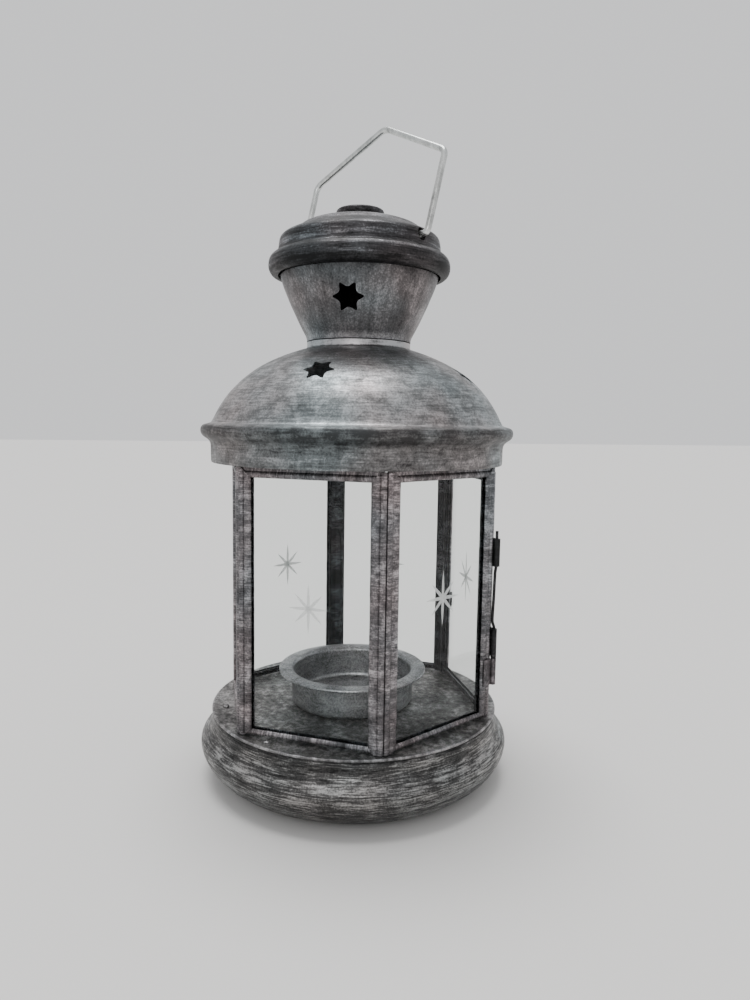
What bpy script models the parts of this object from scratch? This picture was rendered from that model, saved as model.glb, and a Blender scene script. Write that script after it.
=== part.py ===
"""Six-sided candle lantern: pressed base, glazed frames, hinged door, domed roof, vent funnel,
cap and wire bail. Metres, +Z up, origin at the centre of the foot, door facing -Y."""

import math

import bmesh
import bpy
from mathutils import Matrix, Vector

# Driving dimensions, in metres
BODY_HEIGHT = 0.2107           # foot to the top of the cap, bail left out
BASE_RADIUS = 0.0586           # widest part of the base
FOOT_RADIUS = 0.0440
FLOOR_Z = 0.0258               # top of the floor plate
FLOOR_RADIUS = 0.0545
HEX_RADIUS = 0.05314           # centre to an outer corner of the six frames
FRAME_BOTTOM = 0.0262
FRAME_TOP = 0.1184
DOOR_BOTTOM = 0.0268
DOOR_TOP = 0.1166
SKIRT_RADIUS = 0.0540
SKIRT_BOTTOM = 0.1187
BEAD_RADIUS = 0.0579
DOME_BASE_Z = 0.1326
NECK_RADIUS = 0.0192
NECK_Z = 0.1626
FUNNEL_TOP_RADIUS = 0.0290
FUNNEL_TOP_Z = 0.1865
CAP_RING_RADIUS = 0.0333
CAP_BAND_RADIUS = 0.0298
BOSS_RADIUS = 0.0088
BOSS_HEIGHT = 0.0028           # flat boss on top of the cap

SHEET = 0.0007                 # metal thickness of the turned shells
PLATE = 0.0008                 # thickness of the floor plate
GAP = 0.0003                   # clearance kept between neighbouring pieces
GLASS_THICKNESS = 0.0012

STILE_WIDTH = 0.0050
RAIL_WIDTH = 0.0024
FRAME_DEPTH = 0.0034
CHANNEL_DEPTH = 0.0014         # how far the glass goes into its channel
MITRE_LEG = 0.0032             # cut-off corner of a stile where the rail meets it

CUP_RADIUS = 0.0232
CUP_FLANGE_RADIUS = 0.0281
CUP_TOP = 0.0395
CUP_SHIFT = 0.0010             # the cup is soldered a little off centre

BAIL_WIRE = 0.00115            # wire radius
BAIL_PIVOT_Z = 0.1980
BAIL_AZIMUTH = -54.9           # degrees from the door's normal, about +Z
BAIL_LEAN = 16.1               # degrees that the bail leans back from upright
BAIL_LEG = 0.0302
BAIL_PEAK = 0.0166
BAIL_SHOULDER = 0.0322
BAIL_HOLE = 0.0022

PIN_RADIUS = 0.00055
PIN_DISTANCE = 0.0538          # pin axis from the lantern's axis
PIN_BOTTOM = 0.0389
PIN_TOP = 0.0954
PIN_KINK = 0.00070
UPPER_LOOP = (0.0825, 0.0926)  # heights of the door's two loops and of the fixed bracket
LOWER_LOOP = (0.0486, 0.0593)
BRACKET = (0.0385, 0.0483)
STRIP = 0.00045                # thickness of the hinge strips
LATCH_Z = 0.0580               # middle of the finger tab and of the spring tongue

STAR_RADIUS = 0.0054
STAR_WAIST = 0.0030
DOME_STARS = 4
DOME_STAR_AZIMUTH = -119.4
DOME_STAR_RADIUS = 0.0401
FUNNEL_STARS = 3
FUNNEL_STAR_AZIMUTH = -109.4
FUNNEL_STAR_Z = 0.1759

SEGMENTS = 40
FACES = 6
DOOR_FACE = 0
APOTHEM = HEX_RADIUS * math.cos(math.pi / FACES)
HALF_FACE = HEX_RADIUS * math.sin(math.pi / FACES)

COLOURS = {
    "galvanised": ((0.155, 0.160, 0.158, 1.0), 0.52, 0.85),
    "roof_metal": ((0.270, 0.290, 0.278, 1.0), 0.48, 0.85),
    "cap_metal": ((0.100, 0.104, 0.106, 1.0), 0.50, 0.85),
    "cup_metal": ((0.210, 0.214, 0.216, 1.0), 0.42, 0.90),
    "hinge_metal": ((0.060, 0.062, 0.064, 1.0), 0.55, 0.80),
    "bright_wire": ((0.560, 0.600, 0.580, 1.0), 0.30, 0.95),
    "glass": ((0.900, 0.930, 0.920, 0.35), 0.05, 0.0),
}


def azimuth_direction(degrees):
    """Unit vector in the XY plane, turned about +Z from the door's normal (-Y)."""
    angle = math.radians(degrees)
    return Vector((math.sin(angle), -math.cos(angle), 0.0))


def material(name):
    found = bpy.data.materials.get(name)
    if found:
        return found
    colour, roughness, metallic = COLOURS[name]
    made = bpy.data.materials.new(name)
    made.use_nodes = True
    shader = made.node_tree.nodes["Principled BSDF"]
    shader.inputs["Base Color"].default_value = colour
    shader.inputs["Roughness"].default_value = roughness
    shader.inputs["Metallic"].default_value = metallic
    return made


def new_object(name, bm, finish, smooth_angle=40.0):
    """Turns a bmesh into a named object with faces pointing out."""
    bmesh.ops.remove_doubles(bm, verts=bm.verts, dist=1e-7)
    bmesh.ops.recalc_face_normals(bm, faces=bm.faces)
    mesh = bpy.data.meshes.new(name)
    bm.to_mesh(mesh)
    bm.free()
    mesh.shade_smooth()
    mesh.set_sharp_from_angle(angle=math.radians(smooth_angle))
    made = bpy.data.objects.new(name, mesh)
    made.data.materials.append(material(finish))
    bpy.context.scene.collection.objects.link(made)
    return made


def turned(name, outline, finish, closed=True, segments=SEGMENTS):
    """Spins an outline of (radius, height) points about +Z."""
    bm = bmesh.new()
    verts = [bm.verts.new((radius, 0.0, height)) for radius, height in outline]
    edges = [bm.edges.new(pair) for pair in zip(verts, verts[1:])]
    if closed:
        edges.append(bm.edges.new((verts[-1], verts[0])))
    bmesh.ops.spin(bm, geom=verts + edges, axis=(0, 0, 1), cent=(0, 0, 0),
                   angle=math.tau, steps=segments, use_duplicate=False)
    bmesh.ops.remove_doubles(bm, verts=bm.verts, dist=1e-6)
    return new_object(name, bm, finish)


def wall(outline, thickness=SHEET):
    """Closes an outer line of (radius, height) points, drawn upwards, into a wall of sheet."""
    points = [Vector(point) for point in outline]
    inner = []
    for index, point in enumerate(points):
        before = points[max(index - 1, 0)]
        after = points[min(index + 1, len(points) - 1)]
        first = (point - before).normalized() if index else (after - point).normalized()
        second = (after - point).normalized() if after is not point else first
        along = (first + second).normalized()
        side = Vector((-along.y, along.x))
        stretch = max(side.dot(Vector((-first.y, first.x))), 0.5)
        inner.append(point + side * thickness / stretch)
    return [tuple(p) for p in points] + [tuple(p) for p in reversed(inner)]


def bezier(start, handle_a, handle_b, end, count):
    """Points along a cubic curve, both ends included."""
    points = []
    for index in range(count):
        t = index / (count - 1)
        weights = ((1 - t) ** 3, 3 * t * (1 - t) ** 2, 3 * t * t * (1 - t), t ** 3)
        corners = (start, handle_a, handle_b, end)
        points.append(tuple(sum(w * c[axis] for w, c in zip(weights, corners)) for axis in (0, 1)))
    return points


def extruded(outline, low, high):
    """Prism over a closed XY outline between two heights."""
    bm = bmesh.new()
    bottom = [bm.verts.new((x, y, low)) for x, y in outline]
    top = [bm.verts.new((x, y, high)) for x, y in outline]
    bm.faces.new(bottom)
    bm.faces.new(top)
    count = len(outline)
    for index in range(count):
        following = (index + 1) % count
        bm.faces.new((bottom[index], bottom[following], top[following], top[index]))
    return bm


def cut(target, cutter):
    """Cuts one object with another, which stays in the file as a guide."""
    cutter.hide_render = True
    cutter.display_type = "WIRE"
    modifier = target.modifiers.new("cut_" + cutter.name, "BOOLEAN")
    modifier.operation = "DIFFERENCE"
    modifier.solver = "EXACT"
    modifier.object = cutter


# Base, floor and candle cup

def base_outline():
    """Outer line of the pressed base, from the rolled-in foot up to the ledge under the floor."""
    low_side = (BASE_RADIUS - 0.0010, 0.0096)
    crease = (BASE_RADIUS - 0.0022, 0.0178)
    lower = bezier((FOOT_RADIUS, 0.0), (0.0506, 0.0016), (BASE_RADIUS - 0.0030, 0.0060), low_side, 5)
    upper = bezier(low_side, (BASE_RADIUS + 0.0004, 0.0126), (BASE_RADIUS + 0.0005, 0.0160), crease, 5)
    cove = bezier(crease, (0.0550, 0.0192), (0.0543, 0.0212), (0.0541, 0.0238), 4)
    ledge_z = FLOOR_Z - PLATE - GAP
    return ([(FOOT_RADIUS - 0.0035, 0.0)] + lower + upper[1:] + cove[1:]
            + [(0.0538, ledge_z), (0.0440, ledge_z)])


def build_base():
    turned("base_shell", wall(base_outline()), "galvanised")
    under = FLOOR_Z - PLATE
    edge = [(0.0, FLOOR_Z), (FLOOR_RADIUS - 0.0007, FLOOR_Z), (FLOOR_RADIUS, FLOOR_Z - 0.0003),
            (FLOOR_RADIUS, under), (0.0, under)]
    turned("floor_plate", edge, "galvanised", closed=False)


def build_cup():
    bottom = FLOOR_Z + GAP
    outline = [(0.0, bottom), (CUP_RADIUS - 0.0015, bottom), (CUP_RADIUS, bottom + 0.0015),
               (CUP_RADIUS, CUP_TOP - 0.0016), (CUP_RADIUS + 0.0008, CUP_TOP - 0.0008),
               (CUP_FLANGE_RADIUS - 0.0008, CUP_TOP - 0.0012), (CUP_FLANGE_RADIUS, CUP_TOP - 0.0008),
               (CUP_FLANGE_RADIUS - 0.0004, CUP_TOP - 0.0001), (CUP_RADIUS + 0.0004, CUP_TOP),
               (CUP_RADIUS - SHEET, CUP_TOP - 0.0014), (CUP_RADIUS - SHEET, bottom + 0.0016),
               (CUP_RADIUS - 0.0021, bottom + SHEET), (0.0, bottom + SHEET)]
    cup = turned("candle_cup", outline, "cup_metal", closed=False, segments=32)
    cup.location = (0.0, CUP_SHIFT, 0.0)


# Glazed frames

def stile_section(side):
    """Section of an upright channel on the frame's own axes: across the face, then outwards."""
    step = [(0.00075, -0.0006), (0.0010, -0.0002), (0.0016, 0.0), (0.0026, -0.00035),
            (0.0032, 0.0), (0.0044, 0.0), (STILE_WIDTH, -0.0004), (STILE_WIDTH, -0.0010),
            (STILE_WIDTH - CHANNEL_DEPTH - GAP, -0.0010),
            (STILE_WIDTH - CHANNEL_DEPTH - GAP, -0.0028), (STILE_WIDTH, -0.0028),
            (STILE_WIDTH, -FRAME_DEPTH), (0.0024, -FRAME_DEPTH)]
    return [(side * (HALF_FACE - s), out) for s, out in step]


def rail_section():
    """Section of a level channel: up from the frame's outer edge, then outwards."""
    return [(0.0, -0.0007), (0.0002, -0.0003), (0.0008, 0.0), (0.0016, 0.0), (0.0021, -0.0002),
            (RAIL_WIDTH, -0.0006), (RAIL_WIDTH, -0.0010), (0.0010, -0.0010), (0.0010, -0.0028),
            (RAIL_WIDTH, -0.0028), (RAIL_WIDTH, -FRAME_DEPTH), (0.0, -FRAME_DEPTH)]


def face_matrix(face):
    """Places a frame: its own X runs along the face, Y is outwards, Z is up."""
    out = azimuth_direction(60.0 * face)
    along = Vector((-out.y, out.x, 0.0))
    return Matrix(((along.x, out.x, 0, out.x * APOTHEM),
                   (along.y, out.y, 0, out.y * APOTHEM),
                   (0, 0, 1, 0), (0, 0, 0, 1)))


def build_stile(name, side, low, high, place):
    """Upright channel with its inner corners cut off for the rails' mitred ends."""
    bm = extruded(stile_section(side), low, high)
    inner = side * (HALF_FACE - STILE_WIDTH)
    slope = Vector((-side, 0.0, 1.0)).normalized()
    for height, flip in ((high - MITRE_LEG, 1), (low + MITRE_LEG, -1)):
        normal = Vector((slope.x, 0.0, slope.z * flip))
        everything = bm.verts[:] + bm.edges[:] + bm.faces[:]
        bmesh.ops.bisect_plane(bm, geom=everything, plane_co=(inner, 0, height), plane_no=normal,
                               clear_outer=True)
        bmesh.ops.holes_fill(bm, edges=[e for e in bm.edges if e.is_boundary])
    bm.transform(place)
    return new_object(name, bm, "galvanised")


def build_rail(name, level, up, place):
    """Level channel between two stiles, its ends cut along their mitres."""
    bm = bmesh.new()
    reach = HALF_FACE
    ends = []
    for x in (-reach, reach):
        ends.append([bm.verts.new((x, out, level + up * s)) for s, out in rail_section()])
    for ring in ends:
        bm.faces.new(ring)
    count = len(ends[0])
    for index in range(count):
        following = (index + 1) % count
        bm.faces.new((ends[0][index], ends[0][following], ends[1][following], ends[1][index]))
    inner = HALF_FACE - STILE_WIDTH - GAP * math.sqrt(2)
    for side in (-1, 1):
        normal = Vector((side, 0.0, -up)).normalized()
        everything = bm.verts[:] + bm.edges[:] + bm.faces[:]
        bmesh.ops.bisect_plane(bm, geom=everything, plane_co=(side * inner, 0, level + up * MITRE_LEG),
                               plane_no=normal, clear_outer=True)
        bmesh.ops.holes_fill(bm, edges=[e for e in bm.edges if e.is_boundary])
    bm.transform(place)
    return new_object(name, bm, "galvanised")


def build_pane(name, low, high, place):
    half = HALF_FACE - STILE_WIDTH + CHANNEL_DEPTH
    front = -0.0013
    outline = [(-half, front), (half, front), (half, front - GLASS_THICKNESS),
               (-half, front - GLASS_THICKNESS)]
    bm = extruded(outline, low + RAIL_WIDTH - 0.0011, high - RAIL_WIDTH + 0.0011)
    bm.transform(place)
    return new_object(name, bm, "glass")


def build_frames():
    for face in range(FACES):
        is_door = face == DOOR_FACE
        prefix = "door" if is_door else "frame%d" % face
        low = DOOR_BOTTOM if is_door else FRAME_BOTTOM
        high = DOOR_TOP if is_door else FRAME_TOP
        place = face_matrix(face)
        build_stile(prefix + "_stile_left", -1, low, high, place)
        build_stile(prefix + "_stile_right", 1, low, high, place)
        build_rail(prefix + "_rail_bottom", low, 1, place)
        build_rail(prefix + "_rail_top", high, -1, place)
        build_pane(prefix + "_glass", low, high, place)


# Hinge, pull tab and latch

def strip_outline(centre_line, thickness):
    """Closed outline of a bent strip that follows an open centre line."""
    points = [Vector(p) for p in centre_line]
    left, right = [], []
    for index, point in enumerate(points):
        before = points[max(index - 1, 0)]
        after = points[min(index + 1, len(points) - 1)]
        along = (after - before).normalized()
        side = Vector((-along.y, along.x)) * thickness / 2
        left.append(tuple(point + side))
        right.append(tuple(point - side))
    return left + list(reversed(right))


def loop_line(radius, side, leaf_end):
    """Centre line of a hinge strip: a leaf on the frame's face, then a turn round the pin."""
    lean = math.radians(30.0)
    proud = PIN_DISTANCE - HEX_RADIUS
    pin = Vector((side * (HALF_FACE + proud * math.sin(lean)), proud * math.cos(lean)))
    rise = 0.00012 + STRIP / 2
    start = math.asin((rise - pin.y) / radius)
    line = [(side * (HALF_FACE - leaf_end), rise), (side * (HALF_FACE - leaf_end / 2), rise)]
    for index in range(13):
        angle = start + math.radians(285.0) * index / 12
        line.append((pin.x - side * radius * math.cos(angle), pin.y + radius * math.sin(angle)))
    return line


def build_loop(name, radius, side, leaf_end, heights, face):
    outline = strip_outline(loop_line(radius, side, leaf_end), STRIP)
    bm = extruded(outline, heights[0], heights[1])
    bm.transform(face_matrix(face))
    return new_object(name, bm, "hinge_metal")


def build_hinge():
    """Door loops and fixed bracket round one pin at the corner left of the door."""
    tight = PIN_RADIUS + 0.0001 + STRIP / 2
    build_loop("door_loop_upper", tight + 0.00018, -1, 0.0045, UPPER_LOOP, DOOR_FACE)
    build_loop("door_loop_lower", tight, -1, 0.0045, LOWER_LOOP, DOOR_FACE)
    build_loop("hinge_bracket", tight, 1, 0.0047, BRACKET, FACES - 1)

    corner = azimuth_direction(-30.0)
    axis = corner * PIN_DISTANCE
    pin_line = [(PIN_BOTTOM, 0.0), (0.0598, 0.0), (0.0610, 0.6), (0.0622, 1.0), (0.0640, 1.0),
                (0.0680, 0.75), (0.0740, 0.55), (0.0800, 0.40), (0.0818, 0.0), (PIN_TOP, 0.0)]
    curve = bpy.data.curves.new("hinge_pin", "CURVE")
    curve.dimensions = "3D"
    curve.bevel_depth = PIN_RADIUS
    curve.bevel_resolution = 2
    curve.use_fill_caps = True
    curve.render_resolution_u = 0
    spline = curve.splines.new("POLY")
    spline.points.add(len(pin_line) - 1)
    for point, (height, kink) in zip(spline.points, pin_line):
        place = axis - corner * PIN_KINK * kink
        point.co = (place.x, place.y, height, 1.0)
    pin = bpy.data.objects.new("hinge_pin", curve)
    pin.data.materials.append(material("hinge_metal"))
    bpy.context.scene.collection.objects.link(pin)


def build_door_fittings():
    """Bent finger tab on the door's free stile and the spring tongue that holds the door shut."""
    place = face_matrix(DOOR_FACE)
    rise = 0.00012 + STRIP / 2
    far = HALF_FACE - 0.0022
    tab = [(HALF_FACE - 0.0046, rise), (far, rise), (far + 0.0006, rise + 0.0004),
           (far + 0.0008, rise + 0.0014)]
    bm = extruded(strip_outline(tab, STRIP), LATCH_Z - 0.0030, LATCH_Z + 0.0030)
    bm.transform(place)
    new_object("pull_tab", bm, "hinge_metal")

    inside = -FRAME_DEPTH - 0.00015 - STRIP / 2
    tongue = [(HALF_FACE - 0.0049, inside), (HALF_FACE - 0.0036, inside),
              (HALF_FACE - 0.0029, inside - 0.0005), (HALF_FACE - 0.0019, inside - 0.0011)]
    neighbour = face_matrix(1)
    bm = extruded(strip_outline([(-x, out) for x, out in tongue], STRIP), LATCH_Z - 0.0020, LATCH_Z + 0.0020)
    bm.transform(neighbour)
    new_object("latch_tongue", bm, "hinge_metal")


# Roof, funnel and cap

def star_cutter(name, count, azimuth, radius, height, tilt, depth):
    """Six-pointed star prisms round the axis, each square to the sheet it cuts."""
    bm = bmesh.new()
    outline = []
    for point in range(12):
        angle = math.radians(30.0 * point)
        reach = STAR_WAIST if point % 2 else STAR_RADIUS
        if point % 2:
            outline.append((reach * math.cos(angle), reach * math.sin(angle)))
        else:
            for offset in (-0.12, 0.12):
                outline.append((reach * math.cos(angle + offset), reach * math.sin(angle + offset)))
    for index in range(count):
        out = azimuth_direction(azimuth + 360.0 * index / count)
        across = Vector((-out.y, out.x, 0.0))
        normal = (out * math.cos(tilt) + Vector((0, 0, math.sin(tilt)))).normalized()
        up = normal.cross(across)
        centre = out * radius + Vector((0, 0, height))
        prism = extruded(outline, -depth, depth)
        frame = Matrix(((across.x, up.x, normal.x, centre.x), (across.y, up.y, normal.y, centre.y),
                        (across.z, up.z, normal.z, centre.z), (0, 0, 0, 1)))
        prism.transform(frame)
        mesh = bpy.data.meshes.new("star")
        prism.to_mesh(mesh)
        prism.free()
        bm.from_mesh(mesh)
        bpy.data.meshes.remove(mesh)
    return new_object(name, bm, "galvanised")


def dome_curve():
    return bezier((0.0540, DOME_BASE_Z), (0.0495, 0.1440), (0.0402, 0.1546), (0.0196, 0.1603), 10)


def dome_height_and_slope(radius):
    """Height of the dome at a radius, and how far its surface tips up from vertical."""
    points = dome_curve()
    for (r0, z0), (r1, z1) in zip(points, points[1:]):
        if r1 <= radius <= r0:
            share = (r0 - radius) / (r0 - r1)
            return z0 + share * (z1 - z0), math.atan2(r0 - r1, z1 - z0)
    raise ValueError("radius is off the dome")


def build_roof():
    skirt = [(SKIRT_RADIUS, SKIRT_BOTTOM), (SKIRT_RADIUS, 0.1248)]
    ogee = bezier((SKIRT_RADIUS, 0.1248), (0.0542, 0.1268), (0.0556, 0.1262), (0.0568, 0.1279), 4)
    bead = [(BEAD_RADIUS, 0.1298), (BEAD_RADIUS - 0.0003, 0.1316), (0.0562, DOME_BASE_Z - 0.0002)]
    collar = [(NECK_RADIUS, 0.1606), (NECK_RADIUS, NECK_Z)]
    outline = skirt + ogee[1:] + bead + dome_curve() + collar
    roof = turned("roof_dome", wall(outline), "roof_metal")
    height, tilt = dome_height_and_slope(DOME_STAR_RADIUS)
    cut(roof, star_cutter("dome_star_cutter", DOME_STARS, DOME_STAR_AZIMUTH, DOME_STAR_RADIUS,
                          height, tilt, 0.004))

    plate_low = FRAME_TOP + GAP
    ring = [(0.0430, plate_low), (0.0530, plate_low), (0.0530, plate_low + 0.0030),
            (0.0525, plate_low + 0.0030), (0.0525, plate_low + SHEET), (0.0430, plate_low + SHEET)]
    turned("frame_ring", ring, "galvanised")


def build_funnel():
    start = NECK_Z + GAP
    line = [(NECK_RADIUS + 0.0001, start), (NECK_RADIUS + 0.0003, start + 0.0026),
            (FUNNEL_TOP_RADIUS, FUNNEL_TOP_Z)]
    funnel = turned("vent_funnel", wall(line), "galvanised")
    slope = math.atan2(FUNNEL_TOP_RADIUS - NECK_RADIUS, FUNNEL_TOP_Z - start)
    share = (FUNNEL_STAR_Z - start) / (FUNNEL_TOP_Z - start)
    radius = NECK_RADIUS + share * (FUNNEL_TOP_RADIUS - NECK_RADIUS)
    cut(funnel, star_cutter("funnel_star_cutter", FUNNEL_STARS, FUNNEL_STAR_AZIMUTH, radius,
                            FUNNEL_STAR_Z, -slope, 0.003))


def build_cap():
    boss_seat = BODY_HEIGHT - BOSS_HEIGHT - GAP
    lip = FUNNEL_TOP_RADIUS + SHEET + GAP
    ring = bezier((lip + 0.0004, 0.1847), (CAP_RING_RADIUS + 0.0004, 0.1862),
                  (CAP_RING_RADIUS + 0.0006, 0.1912), (0.0316, 0.1940), 6)
    band = [(CAP_BAND_RADIUS, 0.1951), (CAP_BAND_RADIUS - 0.0001, 0.1986), (0.0286, 0.2003),
            (0.0250, 0.2021), (0.0216, 0.2041)]
    dome = bezier((0.0216, 0.2041), (0.0160, 0.2064), (0.0110, boss_seat - 0.0001),
                  (0.0042, boss_seat), 4)
    outline = ring + band + dome[1:]
    cap = turned("cap", wall(outline), "cap_metal")
    bm = bmesh.new()
    bmesh.ops.create_cone(bm, cap_ends=True, segments=16, radius1=BAIL_HOLE, radius2=BAIL_HOLE,
                          depth=2.4 * CAP_RING_RADIUS)
    bm.transform(Matrix.Translation((0, 0, BAIL_PIVOT_Z))
                 @ Matrix.Rotation(math.radians(BAIL_AZIMUTH), 4, "Z")
                 @ Matrix.Rotation(math.radians(90), 4, "X"))
    cut(cap, new_object("bail_hole_cutter", bm, "cap_metal"))

    top = BODY_HEIGHT
    stem = 0.0035
    under = boss_seat - SHEET - GAP
    boss = [(0.0, top - 0.0003), (0.0055, top - 0.0002), (0.0070, top), (BOSS_RADIUS - 0.0003, top - 0.0003),
            (BOSS_RADIUS, top - 0.0008), (BOSS_RADIUS - 0.0002, boss_seat + GAP), (stem, boss_seat + GAP),
            (stem, under), (0.0060, under), (0.0058, under - 0.0008), (0.0, under - 0.0010)]
    turned("cap_boss", boss, "cap_metal", closed=False, segments=24)


# Bail

def bail_points():
    """Wire centre line on its own axes: along the pivot axis, then up."""
    inner = CAP_BAND_RADIUS - SHEET - 0.0020
    bend = CAP_BAND_RADIUS + BAIL_WIRE + 0.0008
    leg_top = (BAIL_SHOULDER, BAIL_LEG)
    half = [(inner - 0.0006, -0.0030), (inner - 0.0003, -0.0012), (inner + 0.0008, -0.0001),
            (CAP_BAND_RADIUS, 0.0), (bend - 0.0008, 0.0005), (bend + 0.0001, 0.0020), (bend, 0.0032)]
    corner = [(BAIL_SHOULDER - 0.0001, BAIL_LEG - 0.0020), (BAIL_SHOULDER - 0.0004, BAIL_LEG - 0.0002),
              (BAIL_SHOULDER - 0.0016, leg_top[1] + 0.0010)]
    rise = Vector((-BAIL_SHOULDER, BAIL_PEAK)).normalized()
    shoulder = half + corner
    peak = Vector((0.0, BAIL_LEG + BAIL_PEAK))
    near_peak = [tuple(peak - rise * 0.0024), (0.0, peak.y - 0.0006)]
    right = shoulder + near_peak
    left = [(-x, z) for x, z in reversed(right[:-1])]
    return right + left


def build_bail():
    pivot = bpy.data.objects.new("bail_pivot", None)
    pivot.location = (0, 0, BAIL_PIVOT_Z)
    bpy.context.scene.collection.objects.link(pivot)
    curve = bpy.data.curves.new("bail_handle", "CURVE")
    curve.dimensions = "3D"
    curve.bevel_depth = BAIL_WIRE
    curve.bevel_resolution = 3
    curve.use_fill_caps = True
    curve.render_resolution_u = 0
    points = bail_points()
    spline = curve.splines.new("POLY")
    spline.points.add(len(points) - 1)
    axis = azimuth_direction(BAIL_AZIMUTH)
    lean_way = Vector((-axis.y, axis.x, 0.0))
    lean = math.radians(BAIL_LEAN)
    upward = lean_way * math.sin(lean) + Vector((0, 0, math.cos(lean)))
    for point, (along, up) in zip(spline.points, points):
        place = axis * along + upward * up
        point.co = (place.x, place.y, place.z, 1.0)
    bail = bpy.data.objects.new("bail_handle", curve)
    bail.data.materials.append(material("bright_wire"))
    bpy.context.scene.collection.objects.link(bail)
    bail.parent = pivot


def main():
    for old in list(bpy.data.objects):
        bpy.data.objects.remove(old, do_unlink=True)
    build_base()
    build_cup()
    build_frames()
    build_hinge()
    build_door_fittings()
    build_roof()
    build_funnel()
    build_cap()
    build_bail()
    bpy.context.view_layer.update()


main()
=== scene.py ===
import math

import bpy
from mathutils import Matrix, Vector


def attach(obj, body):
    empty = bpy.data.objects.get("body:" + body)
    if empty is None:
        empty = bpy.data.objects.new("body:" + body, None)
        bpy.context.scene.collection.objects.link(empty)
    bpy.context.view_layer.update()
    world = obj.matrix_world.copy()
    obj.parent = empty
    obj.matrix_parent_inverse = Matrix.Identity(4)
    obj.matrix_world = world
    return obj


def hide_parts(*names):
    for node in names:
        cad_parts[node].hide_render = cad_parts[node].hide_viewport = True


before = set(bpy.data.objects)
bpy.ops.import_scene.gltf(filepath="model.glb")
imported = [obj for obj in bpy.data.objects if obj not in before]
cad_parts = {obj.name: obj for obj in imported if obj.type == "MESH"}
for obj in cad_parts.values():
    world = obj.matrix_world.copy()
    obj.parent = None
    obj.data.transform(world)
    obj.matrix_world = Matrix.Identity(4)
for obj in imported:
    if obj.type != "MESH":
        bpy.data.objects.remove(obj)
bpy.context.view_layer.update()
mm = 0.001
mergeDistance = 0.001 * mm
print("frame loaded,", len(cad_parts), "nodes")


# selecting, applying and shading

def pickNothing():
    if bpy.context.mode != "OBJECT":
        bpy.ops.object.mode_set(mode="OBJECT")
    bpy.ops.object.select_all(action="DESELECT")


def pickOnly(piece):
    pickNothing()
    piece.select_set(True)
    bpy.context.view_layer.objects.active = piece


def nameNew(name):
    # the piece that an operator has just added
    piece = bpy.context.object
    piece.name = piece.data.name = name
    return piece


def startEditing(piece):
    pickOnly(piece)
    bpy.ops.object.mode_set(mode="EDIT")
    bpy.ops.mesh.select_all(action="SELECT")


def stopEditing():
    bpy.ops.object.mode_set(mode="OBJECT")


def applyPlace(piece):
    pickOnly(piece)
    bpy.ops.object.transform_apply(location=True, rotation=True, scale=True)


def applyModifiers(piece):
    pickOnly(piece)
    for modifier in list(piece.modifiers):
        bpy.ops.object.modifier_apply(modifier=modifier.name)


def shadeByAngle(piece, degrees=35):
    pickOnly(piece)
    bpy.ops.object.shade_smooth_by_angle(angle=math.radians(degrees))


def faceSolidOutwards(piece):
    startEditing(piece)
    bpy.ops.mesh.remove_doubles(threshold=mergeDistance)
    bpy.ops.mesh.normals_make_consistent(inside=False)
    stopEditing()


def faceShellOutwards(piece):
    # on an open shell the widest face has to look away from the axis
    faceSolidOutwards(piece)
    widest = max(piece.data.polygons, key=lambda face: face.center.xy.length)
    if widest.normal.xy.dot(widest.center.xy) < 0:
        startEditing(piece)
        bpy.ops.mesh.flip_normals()
        stopEditing()


def handWork(piece, shape):
    # sheet metal is never quite even: a shallow uneven push over the surface
    texture = bpy.data.textures.new(piece.name + "Push", "CLOUDS")
    texture.noise_scale = shape["unevenSize"]
    push = piece.modifiers.new("push", "DISPLACE")
    push.texture = texture
    push.texture_coords = "LOCAL"
    push.strength = shape["unevenDepth"]
    applyModifiers(piece)


def fileAway(piece, body, nodes, material):
    piece.data.materials.clear()
    piece.data.materials.append(material)
    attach(piece, body)
    if nodes:
        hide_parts(*nodes)


# lines and turned shapes, drawn in millimetres

def easedLine(points, steps=3):
    # a soft line through every point
    line = []
    for index in range(len(points) - 1):
        corners = [points[max(index - 1, 0)], points[index], points[index + 1],
                   points[min(index + 2, len(points) - 1)]]
        for step in range(steps):
            t = step / steps
            line.append(tuple(0.5 * (2 * b + (c - a) * t + (2 * a - 5 * b + 4 * c - d) * t * t
                                     + (3 * b - a - 3 * c + d) * t ** 3)
                              for a, b, c, d in zip(*corners)))
    line.append(tuple(points[-1]))
    return line


def roundedLine(points, steps=6):
    # straight runs with a round bend at each inner point, whose third number is how far the bend reaches
    line = [Vector(points[0][:2])]
    for before, here, after in zip(points, points[1:], points[2:]):
        corner = Vector(here[:2])
        start = corner + (Vector(before[:2]) - corner).normalized() * here[2]
        end = corner + (Vector(after[:2]) - corner).normalized() * here[2]
        for step in range(steps + 1):
            t = step / steps
            line.append(start * (1 - t) ** 2 + corner * 2 * t * (1 - t) + end * t * t)
    line.append(Vector(points[-1][:2]))
    return line


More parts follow.
